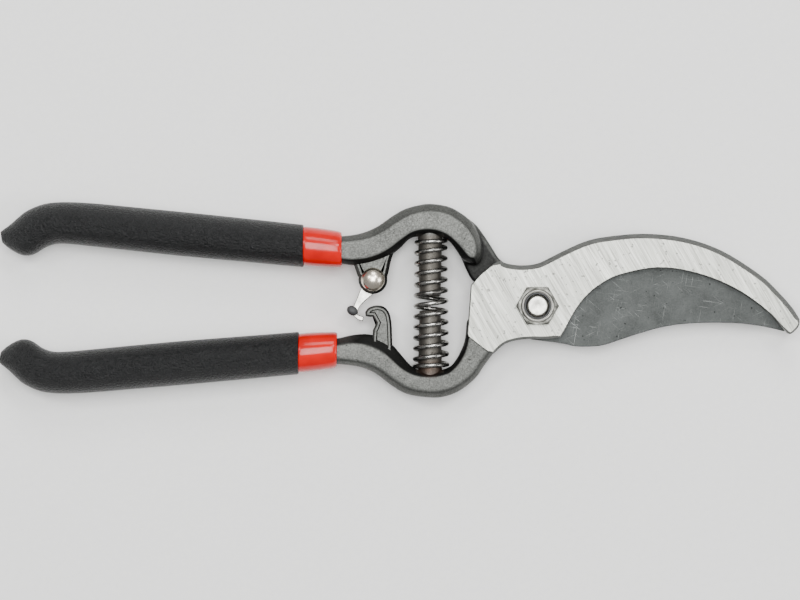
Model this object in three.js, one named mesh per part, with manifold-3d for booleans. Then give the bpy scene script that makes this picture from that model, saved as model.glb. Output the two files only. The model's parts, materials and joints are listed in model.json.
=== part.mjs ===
// Bypass pruning shears, closed. Two drop-forged steel halves cross in a half lap on one bolt:
// the lower handle carries the hooked jaw in front, the upper handle carries the cutting blade behind it.
// Millimetres. X runs from the handles to the tips, Y across the handles, +Z towards the nut.
// The origin is the centre of the flat face of the pivot bolt's head.
import * as THREE from "three";
import { mergeVertices } from "three/addons/utils/BufferGeometryUtils.js";
import Module from "manifold-3d";

const wasm = await Module();
wasm.setup();

// ---- driving dimensions -------------------------------------------------------------------

const fitGap = 0.3; // between faces that touch on the real shears
const jawLength = 70.7; // pivot to the end of the hooked jaw
const lapThickness = 4.65; // each jaw plate at the pivot
const bowHalfThickness = 4.4; // forged bows, each side of the middle plane
const bowDraft = 1.8; // width of the sloping flank of a bow
const bowDraftDepth = 2.2;
const outerRim = 1.2; // chamfer along the back of the hooked jaw
const outerRimDepth = 1.6;
const bladeGrind = 5; // width of the ground bevel behind the cutting edge
const bladeEdge = 0.5; // thickness left at the cutting edge
const faceStep = 0.4; // the lower bow's face lies this much below the upper bow's
const lapShoulder = 13.2; // radius cleared round the pivot by the lower handle's thick part

const boltRadius = 3;
const boltClearance = 0.3;
const boltHeadFlats = 10;
const boltHeadHeight = 2.2;
const nutFlats = 10;
const nutHexHeight = 2.5;
const nutCollarWall = 0.45;
const nutCollarHeight = 1;
const lockRingWall = 0.4; // locking ring in the nut's collar
const boltEndChamfer = 0.25;

const gripStraight = 62; // straight stretch of a handle's cover, from its lip
const gripHalfWidth = 5.7;
const gripHalfDepth = 6.7;
const blackWall = 0.5;
const redWall = 0.9;
const redBand = 10.4; // how far the inner cover shows beyond the outer one
const coverEndGap = 1.2; // between the closed ends of the covers and the tang
const noseSolid = 9; // solid length of the black cover at its tip
const tangStart = 15; // how far the tang's round part reaches back into the bow

const springX = -28.8;
const upperSeat = 18.7; // flat seats of the spring, measured across from the pivot
const lowerSeat = -17.5;
const springRadius = 5; // outside of the coil
const wireRadius = 0.62;
const springTurns = 13;
const pegLength = 16.2; // the two pegs almost meet inside the closed spring
const pegTaper = 0.35; // forging draft, off the radius at the tip
const pegClearance = 0.6;

const rivetAt = new THREE.Vector2(-44.2, 7.1);
const rivetRadius = 1.5;
const rivetHeadRim = 1.7; // how far the domed head reaches past the shank
const rivetHeadHeight = 2.3;
const rivetTailRim = 0.9;
const rivetTailHeight = 1;
const lugWall = 2.4; // steel round the rivet's shank
const lugThickness = 3;
const lugFront = 2.4; // front face of the lug, from the middle plane
const catchThickness = 1.8;
const catchEyeWall = 1.5;
const catchReach = 10.4; // rivet to the upper side of the catch's foot
const catchFootWidth = 1.2;
const hornHalfThickness = 2.7;
const softEdge = 0.4; // chamfer on the small forged lugs

// ---- sizes that follow from them ----------------------------------------------------------

const lapPlane = fitGap / 2;
const jawFace = lapPlane + lapThickness;
const boltHeadFace = jawFace + fitGap + boltHeadHeight;
const nutBase = jawFace + fitGap;
const nutCollarBase = nutBase + nutHexHeight;
const nutTop = nutCollarBase + nutCollarHeight;
const lockRingBore = boltRadius + fitGap / 2;
const lockRingRadius = lockRingBore + lockRingWall;
const lockRingSeat = lockRingRadius + fitGap;
const nutCollarRadius = lockRingSeat + nutCollarWall;
const pegRadius = springRadius - 2 * wireRadius - pegClearance;
const redInset = blackWall + fitGap;
const steelInset = redInset + redWall + fitGap;
const rivetBore = rivetRadius + fitGap;
const lugRadius = rivetRadius + lugWall;
const lugBack = lugFront - lugThickness;
const catchFront = lugBack - fitGap;
const catchBack = catchFront - catchThickness;
const catchEyeRadius = rivetRadius + catchEyeWall;
const seatEnd = springRadius + fitGap; // half length of a spring seat

// ---- geometry helpers ---------------------------------------------------------------------

const curveSteps = 4; // straight pieces to each point of a curve
const shortestEdge = 0.02;
const through = 20; // a cutter reaches this far, past every face
const bite = 1; // how deep joined pieces run into each other
const v2 = (x, y) => new THREE.Vector2(x, y);

function solid(geometry) {
  const bare = geometry.clone();
  bare.deleteAttribute("normal");
  bare.deleteAttribute("uv");
  const merged = mergeVertices(bare);
  return new wasm.Manifold(
    new wasm.Mesh({
      numProp: 3,
      vertProperties: merged.attributes.position.array,
      triVerts: new Uint32Array(merged.index.array),
    }),
  );
}

function geometryOf(manifold) {
  const mesh = manifold.getMesh();
  const geometry = new THREE.BufferGeometry();
  geometry.setAttribute("position", new THREE.BufferAttribute(mesh.vertProperties, 3));
  geometry.setIndex(new THREE.BufferAttribute(mesh.triVerts, 1));
  geometry.computeVertexNormals();
  return geometry;
}

function joined(first, ...others) {
  return others.reduce((sum, next) => sum.add(next), first);
}

// A closed outline of stretches: a list of points is a smooth curve, a single point a corner.
function outline(...stretches) {
  const shape = new THREE.Shape();
  stretches.forEach((stretch, i) => {
    const points = Array.isArray(stretch) ? stretch : [stretch];
    if (i === 0) shape.moveTo(points[0].x, points[0].y);
    else shape.lineTo(points[0].x, points[0].y);
    if (points.length > 1) shape.splineThru(points.slice(1));
  });
  const ring = shape.getPoints(curveSteps);
  return new THREE.Shape(ring.filter((p, i) => p.distanceTo(ring[(i + 1) % ring.length]) > shortestEdge));
}

function plate(shape, low, high, { width = 0, depth = width, rounds = 1 } = {}) {
  const geometry = new THREE.ExtrudeGeometry(shape, {
    depth: high - low - 2 * depth,
    curveSegments: 12,
    bevelEnabled: width > 0,
    bevelSize: width,
    bevelOffset: -width,
    bevelThickness: depth,
    bevelSegments: rounds,
  });
  geometry.translate(0, 0, low + depth);
  return solid(geometry);
}

function disc(x, y, radius, low, high, sides = 24) {
  const geometry = new THREE.CylinderGeometry(radius, radius, high - low, sides);
  geometry.rotateX(Math.PI / 2);
  geometry.translate(x, y, (low + high) / 2);
  return solid(geometry);
}

// A solid of revolution about Z from (radius, height) pairs, which start and end on the axis.
function turned(profile, sides = 24) {
  const geometry = new THREE.LatheGeometry(
    profile.map(([radius, height]) => v2(radius, height)),
    sides,
  );
  geometry.rotateX(Math.PI / 2);
  return solid(geometry);
}

function hexagon(flats, low, high) {
  const corner = flats / Math.sqrt(3);
  const geometry = new THREE.CylinderGeometry(corner, corner, high - low, 6);
  geometry.rotateY(Math.PI / 2);
  geometry.rotateX(Math.PI / 2);
  geometry.translate(0, 0, (low + high) / 2);
  return solid(geometry);
}

function aboutRivet(degrees, radius) {
  const angle = THREE.MathUtils.degToRad(degrees);
  return rivetAt.clone().add(v2(radius * Math.cos(angle), radius * Math.sin(angle)));
}

// ---- handles: each is straight, then bends towards the other one and ends in a blunt nose -----

const upperLine = { start: v2(-63, 16.15), slope: THREE.MathUtils.degToRad(5.6), inward: -1 };
const lowerLine = { start: v2(-64.3, -12.75), slope: THREE.MathUtils.degToRad(4.8), inward: 1 };

// Distance from the black cover's lip, offset towards the other handle, half width.
const gripForm = new THREE.CatmullRomCurve3(
  [
    [-tangStart, 0, 0],
    [0, 0, 0],
    [gripStraight / 2, 0, 0.25],
    [gripStraight, 0.2, 0],
    [gripStraight + 5.5, 0.65, 0],
    [gripStraight + 9.6, 2.4, 0.05],
    [gripStraight + 12.8, 4.0, -0.3],
    [gripStraight + 15.6, 4.9, -1.4],
    [gripStraight + 17.6, 5.0, -3.1],
    [gripStraight + 18.8, 4.9, -4.9],
  ].map(([s, offset, wider]) => new THREE.Vector3(s, offset, gripHalfWidth + wider)),
  false,
  "centripetal",
);
const gripSamples = gripForm.getPoints(240);
const gripEnd = gripSamples.at(-1).x;

function gripAt(s) {
  const i = Math.max(1, gripSamples.findIndex((p) => p.x >= s));
  const [a, b] = [gripSamples[i - 1], gripSamples[i]];
  const here = a.clone().lerp(b, (s - a.x) / (b.x - a.x));
  return { offset: here.y, half: here.z, lean: Math.atan2(b.y - a.y, b.x - a.x) };
}

// An oval bar along a handle's line, made by bending a cylinder. Inset is how far it lies inside
// the black cover's outer surface.
function gripBar(line, from, to, inset, { sides = 16, rings = 11 } = {}) {
  const squareness = 2.3;
  const noseCrowding = 1.5;
  const geometry = new THREE.CylinderGeometry(1, 1, 1, sides, rings);
  const position = geometry.attributes.position;
  const along = v2(-Math.cos(line.slope), -line.inward * Math.sin(line.slope));
  const inward = v2(-Math.sin(line.slope), line.inward * Math.cos(line.slope));
  const round = (x) => Math.sign(x) * Math.abs(x) ** (2 / squareness);
  for (let i = 0; i < position.count; i++) {
    const share = 1 - (0.5 - position.getY(i)) ** noseCrowding;
    const s = from + (to - from) * share;
    const { offset, half, lean } = gripAt(s);
    const centre = line.start.clone().addScaledVector(along, s).addScaledVector(inward, offset);
    const ahead = along.clone().multiplyScalar(Math.cos(lean)).addScaledVector(inward, Math.sin(lean));
    const across = round(position.getX(i)) * (half - inset);
    const deep = round(position.getZ(i)) * ((half * gripHalfDepth) / gripHalfWidth - inset);
    position.setXYZ(i, centre.x + ahead.y * across, centre.y - ahead.x * across, deep);
  }
  return solid(geometry);
}

function tang(line) {
  return gripBar(line, -tangStart, gripEnd - noseSolid - 2 * coverEndGap, steelInset);
}

function redCover(line) {
  const outer = gripBar(line, -redBand, gripEnd - noseSolid - fitGap, redInset);
  const cavityEnd = gripEnd - noseSolid - coverEndGap;
  return outer.subtract(gripBar(line, -redBand - bite, cavityEnd, redInset + redWall));
}

function blackCover(line) {
  const outer = gripBar(line, 0, gripEnd, 0, { sides: 18, rings: 18 });
  return outer.subtract(gripBar(line, -bite, gripEnd - noseSolid, blackWall, { sides: 18 }));
}

// ---- lower half: handle, bow, hooked jaw ----------------------------------------------------

const eyeEnd = 10; // beyond the eye, the jaws grow along X only
const drawnLength = 70.7; // the outlines below are drawn for a jaw of this length
const jawStretch = (jawLength - eyeEnd) / (drawnLength - eyeEnd);
const jaw = (x, y) => v2(x > eyeEnd ? eyeEnd + (x - eyeEnd) * jawStretch : x, y);

const hookBack = [
  jaw(-9.9, 12.1), jaw(-7.8, 11.3), jaw(-4, 10.8), jaw(0.1, 11.4), jaw(7.8, 15.1), jaw(18.1, 18.4),
  jaw(28.4, 19.4), jaw(39.4, 18.3), jaw(49.7, 14.9), jaw(60, 8.7), jaw(68, 0.9), jaw(70.7, -4.2),
];
const hookTip = [jaw(70.7, -4.2), jaw(69.4, -6.6), jaw(67.8, -7.6), jaw(66.9, -6.4)];
const hookInside = [
  jaw(66.9, -6.4), jaw(61.8, -1.3), jaw(53.2, 4.7), jaw(42.9, 8.8), jaw(32.5, 10.3), jaw(22.2, 8.4),
  jaw(14.4, 3.8), jaw(9.8, -1.8), jaw(6.3, -8.5),
];

function hookedJaw() {
  const eyeBottom = [v2(6.3, -8.5), v2(-1.3, -8.9), v2(-5.1, -9.2), v2(-8.7, -10.3), v2(-11.9, -12.9)];
  const throatSide = [v2(-17.8, 5.9), v2(-18.3, -1.1), v2(-18.8, -8.1)];
  const shape = outline(
    throatSide, v2(-15.5, -10.6), v2(-13.3, -12.6), eyeBottom.toReversed(), hookInside.toReversed(),
    hookTip.toReversed(), hookBack.toReversed(), v2(-13.4, 9.9), v2(-15.3, 8.3),
  );
  // A larger plate with a chamfered rim, which meets the jaw only along its back.
  const ground = outline(v2(-40, -30), jaw(70.7, -30), hookBack.toReversed(), v2(-40, 25));
  const rim = { width: outerRim, depth: outerRimDepth };
  const rimmed = plate(ground, lapPlane - 2 * outerRimDepth, jawFace, rim);
  return plate(shape, lapPlane, jawFace).intersect(rimmed);
}

function lowerBow() {
  const outside = [
    v2(-52.6, -15.2), v2(-49.3, -16.1), v2(-43.1, -18.3), v2(-35.3, -23.2), v2(-28.3, -24.8),
    v2(-21.3, -23.2), v2(-16.7, -19.7), v2(-11.9, -12.9),
  ];
  const shape = outline(
    v2(-57, -15.2), outside, v2(-5, -9), v2(-5, 1), v2(-18.6, 1.6),
    [v2(-18.9, -4), v2(-19.4, -9.2), v2(-20.7, -12.8), v2(springX + seatEnd, lowerSeat)],
    [v2(springX - seatEnd, lowerSeat), v2(-36.9, -12.9), v2(-39.6, -10.2), v2(-44.5, -8), v2(-49.3, -7.9)],
    v2(-52.6, -8.7), v2(-57, -9.1),
  );
  const draft = { width: bowDraft, depth: bowDraftDepth };
  const armSpace = outline(
    v2(-30, 1.6), v2(-18.5, 1.6), v2(-14.6, -1.6), v2(-11, -6), v2(0, 0), v2(-30, 20),
  );
  return plate(shape, -bowHalfThickness, bowHalfThickness - faceStep, draft)
    .subtract(disc(0, 0, lapShoulder, -through, lapPlane, 48))
    .subtract(plate(armSpace, -through, lapPlane));
}

// The horn that the catch's foot goes under: its lower side is an arc about the catch's rivet.
function horn() {
  const underside = [-101, -98, -94, -89.5].map((degrees) => aboutRivet(degrees, catchReach - fitGap));
  const level = rivetAt.y - catchReach;
  const notchFloor = level - catchFootWidth - 2 * fitGap;
  const above = (x, rise) => v2(x, level + rise);
  const shape = outline(
    v2(-45.4, -12), v2(-44.8, notchFloor - 1), v2(-44.1, notchFloor),
    v2(underside.at(-1).x + 1, notchFloor), ...underside.toReversed(),
    [above(-46.3, 1.6), above(-45.3, 2.8), above(-43.3, 3.4), above(-41.2, 3), above(-39.8, 1.4),
      above(-39.2, -1.1)],
    v2(-38.6, -8), v2(-37, -15),
  );
  return plate(shape, -hornHalfThickness, hornHalfThickness, { width: softEdge });
}

function springPeg(seat, towards) {
  const root = 3; // how far the peg reaches into the bow
  const tip = pegRadius - pegTaper;
  const [top, bottom] = towards > 0 ? [tip, pegRadius] : [pegRadius, tip];
  const geometry = new THREE.CylinderGeometry(top, bottom, pegLength + root, 24);
  geometry.translate(springX, seat + (towards * (pegLength - root)) / 2, 0);
  return solid(geometry);
}

function pivotHole() {
  return disc(0, 0, boltRadius + boltClearance, -through, through);
}

function rivetHole() {
  return disc(rivetAt.x, rivetAt.y, rivetBore, -through, through, 16);
}

function hookHandle() {
  const forging = joined(lowerBow(), tang(lowerLine), hookedJaw(), horn(), springPeg(lowerSeat, 1));
  return forging.subtract(pivotHole());
}

// ---- upper half: handle, bow, cutting blade -------------------------------------------------

const grindStart = 11.5; // where the bevel behind the cutting edge begins
const cuttingEdge = [
  jaw(14, 8), jaw(22, 10.8), jaw(32.5, 12.6), jaw(42, 11.4), jaw(52, 7.4), jaw(61, 1.4), jaw(66.2, -4.6),
];
const bladeSpine = [
  jaw(66.8, -6.9), jaw(61.8, -5.7), jaw(51.5, -4.6), jaw(41, -4.8), jaw(32.5, -6.1), jaw(22.4, -9.3),
  jaw(14.4, -11), jaw(6.5, -10.1), jaw(-1.3, -9.1),
];

function blade() {
  const shape = outline(
    [v2(-16.1, 21.3), v2(-13.4, 16.9), v2(-9.9, 12.1), v2(-7.8, 10.8), v2(-3, 10), v2(3, 10.2),
      v2(9, 7.6), jaw(14, 8)],
    cuttingEdge, bladeSpine, [v2(-1.3, -9.1), v2(-7, -8.6), v2(-11, -4.6), v2(-14, -0.4)],
    v2(-18.5, 3.6), v2(-18.5, 8), v2(-20.2, 12.9), v2(-21, 20),
  );
  const ground = outline(v2(0, 3), cuttingEdge, jaw(78, -20), jaw(66, -40), v2(0, -40));
  const bevel = { width: bladeGrind, depth: lapThickness - bladeEdge };
  const back = plate(ground, -jawFace, 2 * jawFace, bevel);
  const whole = outline(v2(-40, 40), v2(grindStart, 40), v2(grindStart, -40), v2(-40, -40));
  const body = plate(shape, -jawFace, -lapPlane);
  return body.intersect(back.add(plate(whole, -jawFace, jawFace)));
}

function upperBow() {
  const outside = [
    v2(-52.6, 18.2), v2(-47.2, 19.3), v2(-42.8, 21.2), v2(-39.4, 23.6), v2(-35.8, 25.7),
    v2(-28.2, 27.2), v2(-21, 25.2), v2(-16.1, 21.4),
  ];
  const shape = outline(
    v2(-57, 12.6), v2(-52.6, 12),
    [v2(-49.6, 10.9), v2(-44.5, 11.2), v2(-39.3, 13.4), v2(-36.9, 15.3), v2(springX - seatEnd, upperSeat)],
    [v2(springX + seatEnd, upperSeat), v2(-21.8, 15.3), v2(-20.2, 12.9)], v2(-18.6, 8.5),
    v2(-12, 6), v2(-10.5, 12.4), outside.toReversed(), v2(-57, 18.6),
  );
  const plateSpace = outline(
    v2(-22, 10.2), v2(-19.2, 10.4), v2(-15.4, 11.8), v2(-14.2, 19), v2(-12, 40), v2(20, 40),
    v2(20, -20), v2(-22, -20),
  );
  const draft = { width: bowDraft, depth: bowDraftDepth };
  return plate(shape, -bowHalfThickness, bowHalfThickness, draft).subtract(
    plate(plateSpace, -lapPlane, through),
  );
}

function catchLug() {
  const shape = new THREE.Shape();
  shape.moveTo(-50.2, 14);
  shape.lineTo(rivetAt.x - lugRadius, rivetAt.y);
  shape.absarc(rivetAt.x, rivetAt.y, lugRadius, Math.PI, 2 * Math.PI, false);
  shape.lineTo(-38.6, 15);
  return plate(shape, lugBack, lugFront, { width: softEdge });
}

function bladeHandle() {
  const forging = joined(upperBow(), tang(upperLine), blade(), catchLug(), springPeg(upperSeat, -1));
  return forging.subtract(pivotHole()).subtract(rivetHole());
}

// ---- pivot hardware -------------------------------------------------------------------------

function pivotBolt() {
  const headTop = -boltHeadFace + boltHeadHeight;
  const end = nutTop - fitGap;
  const shank = turned([
    [0, headTop - bite], [boltRadius, headTop - bite], [boltRadius, end - boltEndChamfer],
    [boltRadius - boltEndChamfer, end], [0, end],
  ]);
  return hexagon(boltHeadFlats, -boltHeadFace, headTop).add(shank);
}

function pivotNut() {
  const crown = 0.35; // rounding of the collar's rim
  const collar = turned([
    [0, nutCollarBase - bite], [nutCollarRadius, nutCollarBase - bite], [nutCollarRadius, nutTop - crown],
    [nutCollarRadius - crown, nutTop], [0, nutTop],
  ]);
  const bore = disc(0, 0, boltRadius + fitGap, nutBase - bite, nutTop + bite);
  const ringSeat = disc(0, 0, lockRingSeat, nutCollarBase, nutTop + bite);
  return hexagon(nutFlats, nutBase, nutCollarBase).add(collar).subtract(bore).subtract(ringSeat);
}

function nutLockRing() {
  const low = nutCollarBase + fitGap;
  const sunk = 0.2; // below the collar's rim
  const ring = disc(0, 0, lockRingRadius, low, nutTop - sunk);
  return ring.subtract(disc(0, 0, lockRingBore, low - bite, nutTop + bite));
}

// ---- return spring --------------------------------------------------------------------------

class SpringLine extends THREE.Curve {
  getPoint(t, target = new THREE.Vector3()) {
    const middle = springRadius - wireRadius;
    const low = lowerSeat + fitGap + wireRadius;
    const high = upperSeat - fitGap - wireRadius;
    const closed = 0.75 / springTurns; // share of the wire in each flattened end turn
    const open = THREE.MathUtils.clamp((t - closed) / (1 - 2 * closed), 0, 1);
    const climb = 2 * wireRadius + fitGap / 2; // rise of the two flattened end turns together
    const ends = Math.min(t / closed, 1) - Math.min((1 - t) / closed, 1) + 1;
    const y = low + (ends * climb) / 2 + open * (high - low - climb);
    const angle = 2 * Math.PI * springTurns * t;
    return target.set(springX + middle * Math.cos(angle), y, -middle * Math.sin(angle));
  }
}

function returnSpring() {
  const stepsPerTurn = 10;
  const section = new THREE.Shape();
  section.absarc(0, 0, wireRadius, 0, 2 * Math.PI, false);
  return solid(
    new THREE.ExtrudeGeometry(section, {
      extrudePath: new SpringLine(),
      steps: springTurns * stepsPerTurn,
      curveSegments: 3,
      bevelEnabled: false,
    }),
  );
}

// ---- catch ----------------------------------------------------------------------------------

function catchLever() {
  const eye = [-60, 0, 60, 120, 180].map((degrees) => aboutRivet(degrees, catchEyeRadius));
  const foot = catchReach + catchFootWidth;
  const footTip = 256.4; // degrees round the rivet, just short of the horn's beak
  const stamped = 0.2; // broken edge of the stamping
  const shape = outline(
    [...eye, aboutRivet(218, catchReach * 0.4)],
    [aboutRivet(230, catchReach * 0.66), aboutRivet(235, catchReach * 0.9), aboutRivet(241, foot - 0.5),
      aboutRivet(249, foot)],
    aboutRivet(footTip, foot), aboutRivet(footTip, catchReach), aboutRivet(246, catchReach),
    aboutRivet(243.5, catchReach * 0.83),
  );
  return plate(shape, catchBack, catchFront, { width: stamped }).subtract(rivetHole());
}

function catchRivet() {
  const tail = catchBack - fitGap - rivetTailHeight;
  const head = lugFront + fitGap;
  const [tailRadius, headRadius] = [rivetRadius + rivetTailRim, rivetRadius + rivetHeadRim];
  const domeSteps = 6;
  const dome = [];
  for (let i = 0; i < domeSteps; i++) {
    const angle = (i / domeSteps) * (Math.PI / 2);
    dome.push([headRadius * Math.cos(angle), head + rivetHeadHeight * Math.sin(angle)]);
  }
  dome.push([0, head + rivetHeadHeight]);
  const profile = [
    [0, tail], [tailRadius, tail], [tailRadius, tail + rivetTailHeight],
    [rivetRadius, tail + rivetTailHeight], [rivetRadius, head], ...dome,
  ];
  return turned(profile, 20).translate([rivetAt.x, rivetAt.y, 0]);
}

// ---- assembly -------------------------------------------------------------------------------

const finishes = {
  forged_steel: { color: 0x9a9b98, roughness: 0.5, metalness: 0.9 },
  blade_steel: { color: 0x777b78, roughness: 0.45, metalness: 0.9 },
  zinc_plate: { color: 0xb9b8b2, roughness: 0.3, metalness: 1 },
  nickel_plate: { color: 0xc2bcb2, roughness: 0.15, metalness: 1 },
  spring_steel: { color: 0x8f9092, roughness: 0.25, metalness: 1 },
  black_vinyl: { color: 0x1f2223, roughness: 0.6, metalness: 0 },
  red_vinyl: { color: 0xe8261d, roughness: 0.25, metalness: 0 },
  dark_nylon: { color: 0x26282a, roughness: 0.6, metalness: 0 },
};

const parts = {
  hook_handle: [hookHandle(), "forged_steel"],
  blade_handle: [bladeHandle(), "blade_steel"],
  pivot_bolt: [pivotBolt(), "zinc_plate"],
  pivot_nut: [pivotNut(), "zinc_plate"],
  nut_lock_ring: [nutLockRing(), "dark_nylon"],
  return_spring: [returnSpring(), "spring_steel"],
  catch_lever: [catchLever(), "zinc_plate"],
  catch_rivet: [catchRivet(), "nickel_plate"],
  upper_red_cover: [redCover(upperLine), "red_vinyl"],
  upper_black_cover: [blackCover(upperLine), "black_vinyl"],
  lower_red_cover: [redCover(lowerLine), "red_vinyl"],
  lower_black_cover: [blackCover(lowerLine), "black_vinyl"],
};

const shears = new THREE.Group();
for (const [name, [body, finish]] of Object.entries(parts)) {
  const mesh = new THREE.Mesh(geometryOf(body), new THREE.MeshStandardMaterial(finishes[finish]));
  mesh.name = name;
  shears.add(mesh);
}
shears.position.z = boltHeadFace;

const group = new THREE.Group();
group.add(shears);
export default group;
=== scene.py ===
"""Bypass pruning shears with a coil spring, a thumb catch and dipped vinyl grips, in a plain studio."""

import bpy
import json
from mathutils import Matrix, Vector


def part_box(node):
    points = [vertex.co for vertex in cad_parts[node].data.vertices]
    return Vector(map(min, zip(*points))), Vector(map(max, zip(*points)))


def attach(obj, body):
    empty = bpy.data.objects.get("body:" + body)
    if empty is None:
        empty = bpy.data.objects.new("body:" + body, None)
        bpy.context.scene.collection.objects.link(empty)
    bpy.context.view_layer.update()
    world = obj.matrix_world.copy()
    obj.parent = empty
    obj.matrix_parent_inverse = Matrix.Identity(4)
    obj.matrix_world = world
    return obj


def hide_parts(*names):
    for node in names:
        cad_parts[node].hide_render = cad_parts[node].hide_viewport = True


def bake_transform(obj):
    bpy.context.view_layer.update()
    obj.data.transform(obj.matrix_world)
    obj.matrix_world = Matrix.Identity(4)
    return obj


bl_info = {
    "name": "Bypass Pruning Shears",
    "version": (1, 0, 0),
    "blender": (4, 5, 0),
    "location": "View3D > Sidebar > Shears",
    "description": "Builds forged bypass pruning shears round their packed frame",
    "category": "Object",
}

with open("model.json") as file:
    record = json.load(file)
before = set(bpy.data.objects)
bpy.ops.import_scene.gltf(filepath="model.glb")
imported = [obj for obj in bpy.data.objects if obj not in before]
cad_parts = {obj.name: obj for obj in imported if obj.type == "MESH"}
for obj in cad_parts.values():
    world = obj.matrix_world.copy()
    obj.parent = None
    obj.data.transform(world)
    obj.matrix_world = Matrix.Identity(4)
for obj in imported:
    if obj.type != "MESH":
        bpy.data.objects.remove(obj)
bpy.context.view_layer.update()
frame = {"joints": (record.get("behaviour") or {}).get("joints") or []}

import json
import math

import bmesh
import bpy
from bpy.props import FloatProperty, FloatVectorProperty, IntProperty, PointerProperty
from mathutils import Matrix, Vector
from mathutils.geometry import intersect_point_line

MM = 0.001
JOINTS = {joint["name"]: joint for joint in frame["joints"]}
PIVOT = Vector(JOINTS["pivot"]["pos_m"])
RIVET = Vector(JOINTS["catch_swing"]["pos_m"])
RIVET_X, RIVET_Y = RIVET.x / MM, RIVET.y / MM
JAW_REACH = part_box("hook_handle")[1].x / MM
SPRING_LOW, SPRING_HIGH = (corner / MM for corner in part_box("return_spring"))
SPRING_X = (SPRING_LOW.x + SPRING_HIGH.x) / 2

# In millimetres; heights are from the middle plane between the two jaws.
SEAT_GAP = 0.3  # between the spring's ends and their seats
LOWER_SEAT = SPRING_LOW.y - SEAT_GAP
UPPER_SEAT = SPRING_HIGH.y + SEAT_GAP
JAW_FACE = 4.8  # front of the hooked jaw
LAP = 0.15  # half the gap between the two jaws
LAP_SHOULDER = 13.2  # radius cleared round the pivot for the blade
BOW_FACE = 4.4
LOWER_BOW_FACE = 4.0
GRIND_WIDTH = 5.0  # ground bevel behind the cutting edge
BOLT_HOLE = 3.3
RIVET_HOLE = 1.8
THROAT = (-29.0, 0.8)  # middle of the opening that holds the spring
THROUGH = 12.0  # a cutter reaches past every face
ROUNDING = 14  # rounds of settling that soften a forging's edges
TANG = (-9.0, 62.0)  # from and to, along the grip
TANG_INSET = 1.95
CREASE = 35.0  # degrees between faces past which an edge stays sharp
SOFT_CREASE = 60.0
AXIS = (0.0, 0.0)


def linear(hex_colour):
    """An sRGB hex colour as linear red, green, blue and alpha."""
    parts = [int(hex_colour[i : i + 2], 16) / 255 for i in (1, 3, 5)]
    return [p / 12.92 if p <= 0.04045 else ((p + 0.055) / 1.055) ** 2.4 for p in parts] + [1.0]


# ---- sizes and colours that a user would change ----------------------------------------------


def colour(name, description, default):
    """A colour setting, from an sRGB hex value."""
    shown = {"name": name, "description": description, "default": linear(default)[:3]}
    return FloatVectorProperty(subtype="COLOR", size=3, min=0, max=1, **shown)


def length(name, description, default):
    """A length setting, from millimetres."""
    shown = {"name": name, "description": description, "default": default * MM}
    return FloatProperty(unit="LENGTH", precision=5, **shown)


class ForgingSettings(bpy.types.PropertyGroup):
    grain: length("Grain", "Size of the surface facets on the forged bows", 0.3)
    rim: length("Rim", "Width of the chamfer along the back of the hooked jaw", 1.3)
    ground: colour("Ground face", "Steel of the ground front face", "#93948E")
    blasted: colour("Blasted skin", "Shot-blasted face of the bows", "#626360")
    # Dark flank colour: partly forge scale, partly painted shade on the flanks round the throat.
    scale: colour("Forge scale", "Dark skin left on the flanks", "#141413")
    blade: colour("Blade", "Hardened steel of the cutting blade", "#303231")


class GripSettings(bpy.types.PropertyGroup):
    black: colour("Black vinyl", "Outer dip of the grips", "#08090A")
    red: colour("Red vinyl", "Inner dip of the grips", "#CC0804")


class SpringSettings(bpy.types.PropertyGroup):
    wire: length("Wire", "Diameter of the spring's wire", 1.24)
    turns: IntProperty(name="Turns", description="Turns of the coil", default=13, min=4)
    steel: colour("Wire colour", "Oil-tempered spring wire", "#A09F9B")


class HardwareSettings(bpy.types.PropertyGroup):
    flats: length("Across flats", "Width of the bolt's head and of the nut", 10)
    zinc: colour("Zinc", "Plating of the bolt and the nut", "#ABAAA4")
    nickel: colour("Nickel", "Plating of the domed rivet", "#E8DFCF")


class StageSettings(bpy.types.PropertyGroup):
    height: FloatProperty(name="Camera height", description="Above the shears", default=1.2, unit="LENGTH")
    floor: colour("Floor", "Plain pale floor", "#F4F4F2")


class ShearsSettings(bpy.types.PropertyGroup):
    forging: PointerProperty(type=ForgingSettings)
    grips: PointerProperty(type=GripSettings)
    spring: PointerProperty(type=SpringSettings)
    hardware: PointerProperty(type=HardwareSettings)
    stage: PointerProperty(type=StageSettings)


# ---- outlines, in millimetres from the pivot --------------------------------------------------


def between(a, b, c, d, t):
    """The point a share of the way from b to c, on a smooth line through all four."""
    square, cube = 2 * a - 5 * b + 4 * c - d, 3 * b - a - 3 * c + d
    return (2 * b + (c - a) * t + square * t**2 + cube * t**3) / 2


def curve(points, steps=5):
    """A smooth line through the points, both ends included."""
    points = [Vector(p) for p in points]
    padded = [2 * points[0] - points[1], *points, 2 * points[-1] - points[-2]]
    fours = zip(padded, padded[1:], padded[2:], padded[3:])
    return [between(*four, i / steps) for four in fours for i in range(steps)] + [points[-1]]


def thinned(line, gap):
    """A closed line without the points that are nearer than a gap to the one before them."""
    return [p for i, p in enumerate(line) if (p - line[i - 1]).length > gap]


def outline(*stretches):
    """A closed line of stretches: a list of points is a smooth curve, a single point a corner."""
    line = []
    for stretch in stretches:
        line += curve(stretch) if isinstance(stretch, list) else [Vector(stretch)]
    return thinned(line, 0.05)


def arc(centre, radius, start, end, steps):
    """Points round a centre, from one angle to another in degrees."""
    turns = [math.radians(start + (end - start) * i / steps) for i in range(steps + 1)]
    return [(centre[0] + radius * math.cos(t), centre[1] + radius * math.sin(t)) for t in turns]


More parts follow.
